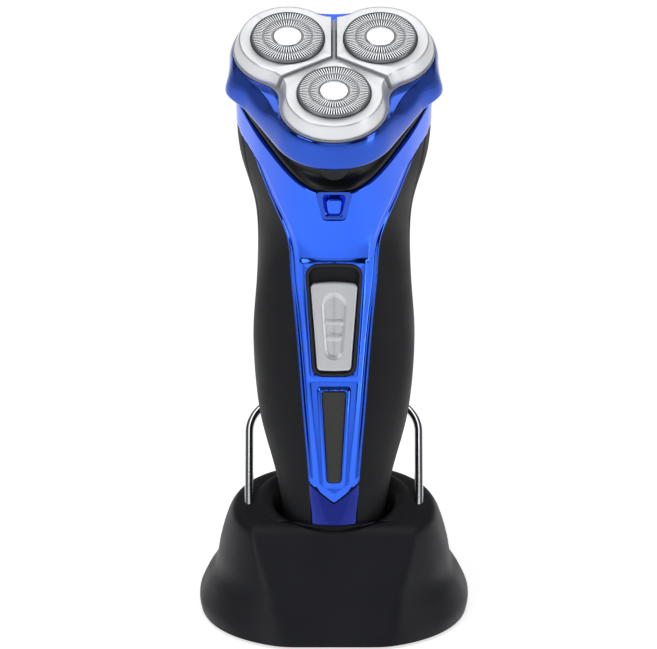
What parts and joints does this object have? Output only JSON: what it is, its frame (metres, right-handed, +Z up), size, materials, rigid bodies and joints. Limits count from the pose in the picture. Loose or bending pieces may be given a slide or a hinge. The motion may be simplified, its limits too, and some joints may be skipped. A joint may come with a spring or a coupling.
{
  "type": "rotary electric shaver",
  "caption": "Rotary electric shaver with floating cutters in a hinged head, leaning in a charging stand with a wire rest.",
  "frame": {"origin": "on the table, under the middle of the stand", "axes": "+Z up, +X to the right seen from the front, -Y to the front"},
  "size_m": [0.0808, 0.0965, 0.1743],
  "materials": {
    "stand_plastic": "fine matte moulded",
    "foot_rubber": "soft matte",
    "screw_steel": "zinc plated",
    "bail_chrome": "polished wire",
    "contact_brass": "gold plated",
    "board_green": "solder mask",
    "grip_rubber": "soft-touch matte",
    "panel_blue": "metallised blue, high gloss",
    "trim_blue": "dark blue gloss",
    "neck_black": "black gloss",
    "bezel_grey": "dark grey satin",
    "slider_silver": "silver lacquer",
    "window_smoke": "smoked clear",
    "led_clear": "clear",
    "frame_grey": "grey satin",
    "lobe_silver": "silver lacquer",
    "guard_steel": "ground stainless",
    "cap_silver": "bright satin",
    "gear_acetal": "natural acetal",
    "motor_steel": "plated can",
    "battery_wrap": "shrink wrap"
  },
  "bodies": {
    "stand": {"stand_shell": "stand_plastic", "stand_base_plate": "stand_plastic", "stand_feet": "foot_rubber", "stand_screws": "screw_steel", "support_bail": "bail_chrome", "stand_contact_block": "stand_plastic", "stand_contact_pins": "contact_brass", "stand_inlet": "stand_plastic", "stand_inlet_pin": "contact_brass", "stand_circuit_board": "board_green"},
    "handle": {"back_shell": "grip_rubber", "front_shell": "grip_rubber", "front_panel": "panel_blue", "lower_trim": "trim_blue", "bottom_cap": "neck_black", "switch_bezel": "bezel_grey", "indicator_window": "window_smoke", "indicator_leds": "led_clear", "neck_collar": "neck_black", "chamber_floor": "frame_grey", "shaft_seals": "foot_rubber", "gear_plate": "gear_acetal", "chassis": "gear_acetal", "motor_can": "motor_steel", "motor_end_cap": "gear_acetal", "battery": "battery_wrap", "battery_tabs": "contact_brass", "circuit_board": "board_green", "slide_switch": "bezel_grey", "charging_inlet": "bezel_grey", "inlet_contacts": "contact_brass", "body_screws": "screw_steel", "head_hinge_pin": "screw_steel", "button_spring": "screw_steel"},
    "switch": {"switch_slider": "slider_silver"},
    "button": {"release_button": "panel_blue"},
    "head": {"head_ring": "panel_blue", "head_frame": "frame_grey", "lobe_plates": "lobe_silver", "latch_tongue": "neck_black", "retaining_plate": "frame_grey"},
    "knob": {"lock_knob": "bezel_grey"},
    "rotor": {"motor_shaft": "screw_steel", "pinion": "contact_brass"},
    "float_1": {"guard_1": "guard_steel", "guard_cap_1": "cap_silver"},
    "blades_1": {"cutter_1": "guard_steel"},
    "gear_1": {"drive_gear_1": "gear_acetal", "drive_shaft_1": "gear_acetal"},
    "float_2": {"guard_2": "guard_steel", "guard_cap_2": "cap_silver"},
    "blades_2": {"cutter_2": "guard_steel"},
    "gear_2": {"drive_gear_2": "gear_acetal", "drive_shaft_2": "gear_acetal"},
    "float_3": {"guard_3": "guard_steel", "guard_cap_3": "cap_silver"},
    "blades_3": {"cutter_3": "guard_steel"},
    "gear_3": {"drive_gear_3": "gear_acetal", "drive_shaft_3": "gear_acetal"}
  },
  "joints": [
    {"name": "shaver_lift", "type": "slide", "parent": "stand", "child": "handle", "axis": [0, 0.309, 0.9511], "range_m": [0, 0.06]},
    {"name": "switch_slide", "type": "slide", "parent": "handle", "child": "switch", "axis": [0, 0.2521, 0.9677], "range_m": [0, 0.004]},
    {"name": "button_press", "type": "slide", "parent": "handle", "child": "button", "axis": [0, 0.9903, 0.1392], "range_m": [0, 0.001], "stiffness_N_per_m": 400, "springref_m": -0.001},
    {"name": "head_open", "type": "hinge", "parent": "handle", "child": "head", "pos_m": [0, 0.05493, 0.16405], "axis": [-1, 0, 0], "range_deg": [0, 100]},
    {"name": "knob_turn", "type": "hinge", "parent": "head", "child": "knob", "pos_m": [0, 0.02677, 0.15699], "axis": [0, -0.4067, 0.9135], "range_deg": [0, 90]},
    {"name": "motor_spin", "type": "hinge", "parent": "handle", "child": "rotor", "pos_m": [0, 0.03124, 0.14694], "axis": [0, -0.4067, 0.9135], "continuous": true},
    {"name": "float_1_press", "type": "slide", "parent": "head", "child": "float_1", "axis": [0, 0.4067, -0.9135], "range_m": [0, 0.0012], "stiffness_N_per_m": 500, "springref_m": -0.001},
    {"name": "cutter_1_spin", "type": "hinge", "parent": "float_1", "child": "blades_1", "pos_m": [0.01386, 0.03163, 0.16572], "axis": [0, -0.4067, 0.9135], "continuous": true},
    {"name": "gear_1_spin", "type": "hinge", "parent": "handle", "child": "gear_1", "pos_m": [0.01386, 0.03855, 0.15019], "axis": [0, -0.4067, 0.9135], "continuous": true},
    {"name": "float_2_press", "type": "slide", "parent": "head", "child": "float_2", "axis": [0, 0.4067, -0.9135], "range_m": [0, 0.0012], "stiffness_N_per_m": 500, "springref_m": -0.001},
    {"name": "cutter_2_spin", "type": "hinge", "parent": "float_2", "child": "blades_2", "pos_m": [-0.01386, 0.03163, 0.16572], "axis": [0, -0.4067, 0.9135], "continuous": true},
    {"name": "gear_2_spin", "type": "hinge", "parent": "handle", "child": "gear_2", "pos_m": [-0.01386, 0.03855, 0.15019], "axis": [0, -0.4067, 0.9135], "continuous": true},
    {"name": "float_3_press", "type": "slide", "parent": "head", "child": "float_3", "axis": [0, 0.4067, -0.9135], "range_m": [0, 0.0012], "stiffness_N_per_m": 500, "springref_m": -0.001},
    {"name": "cutter_3_spin", "type": "hinge", "parent": "float_3", "child": "blades_3", "pos_m": [0, 0.00971, 0.15596], "axis": [0, -0.4067, 0.9135], "continuous": true},
    {"name": "gear_3_spin", "type": "hinge", "parent": "handle", "child": "gear_3", "pos_m": [0, 0.01662, 0.14043], "axis": [0, -0.4067, 0.9135], "continuous": true}
  ],
  "couplings": [
    {"joint": "cutter_1_spin", "follows": "motor_spin", "ratio": -0.33333},
    {"joint": "gear_1_spin", "follows": "motor_spin", "ratio": -0.33333},
    {"joint": "cutter_2_spin", "follows": "motor_spin", "ratio": -0.33333},
    {"joint": "gear_2_spin", "follows": "motor_spin", "ratio": -0.33333},
    {"joint": "cutter_3_spin", "follows": "motor_spin", "ratio": -0.33333},
    {"joint": "gear_3_spin", "follows": "motor_spin", "ratio": -0.33333}
  ]
}
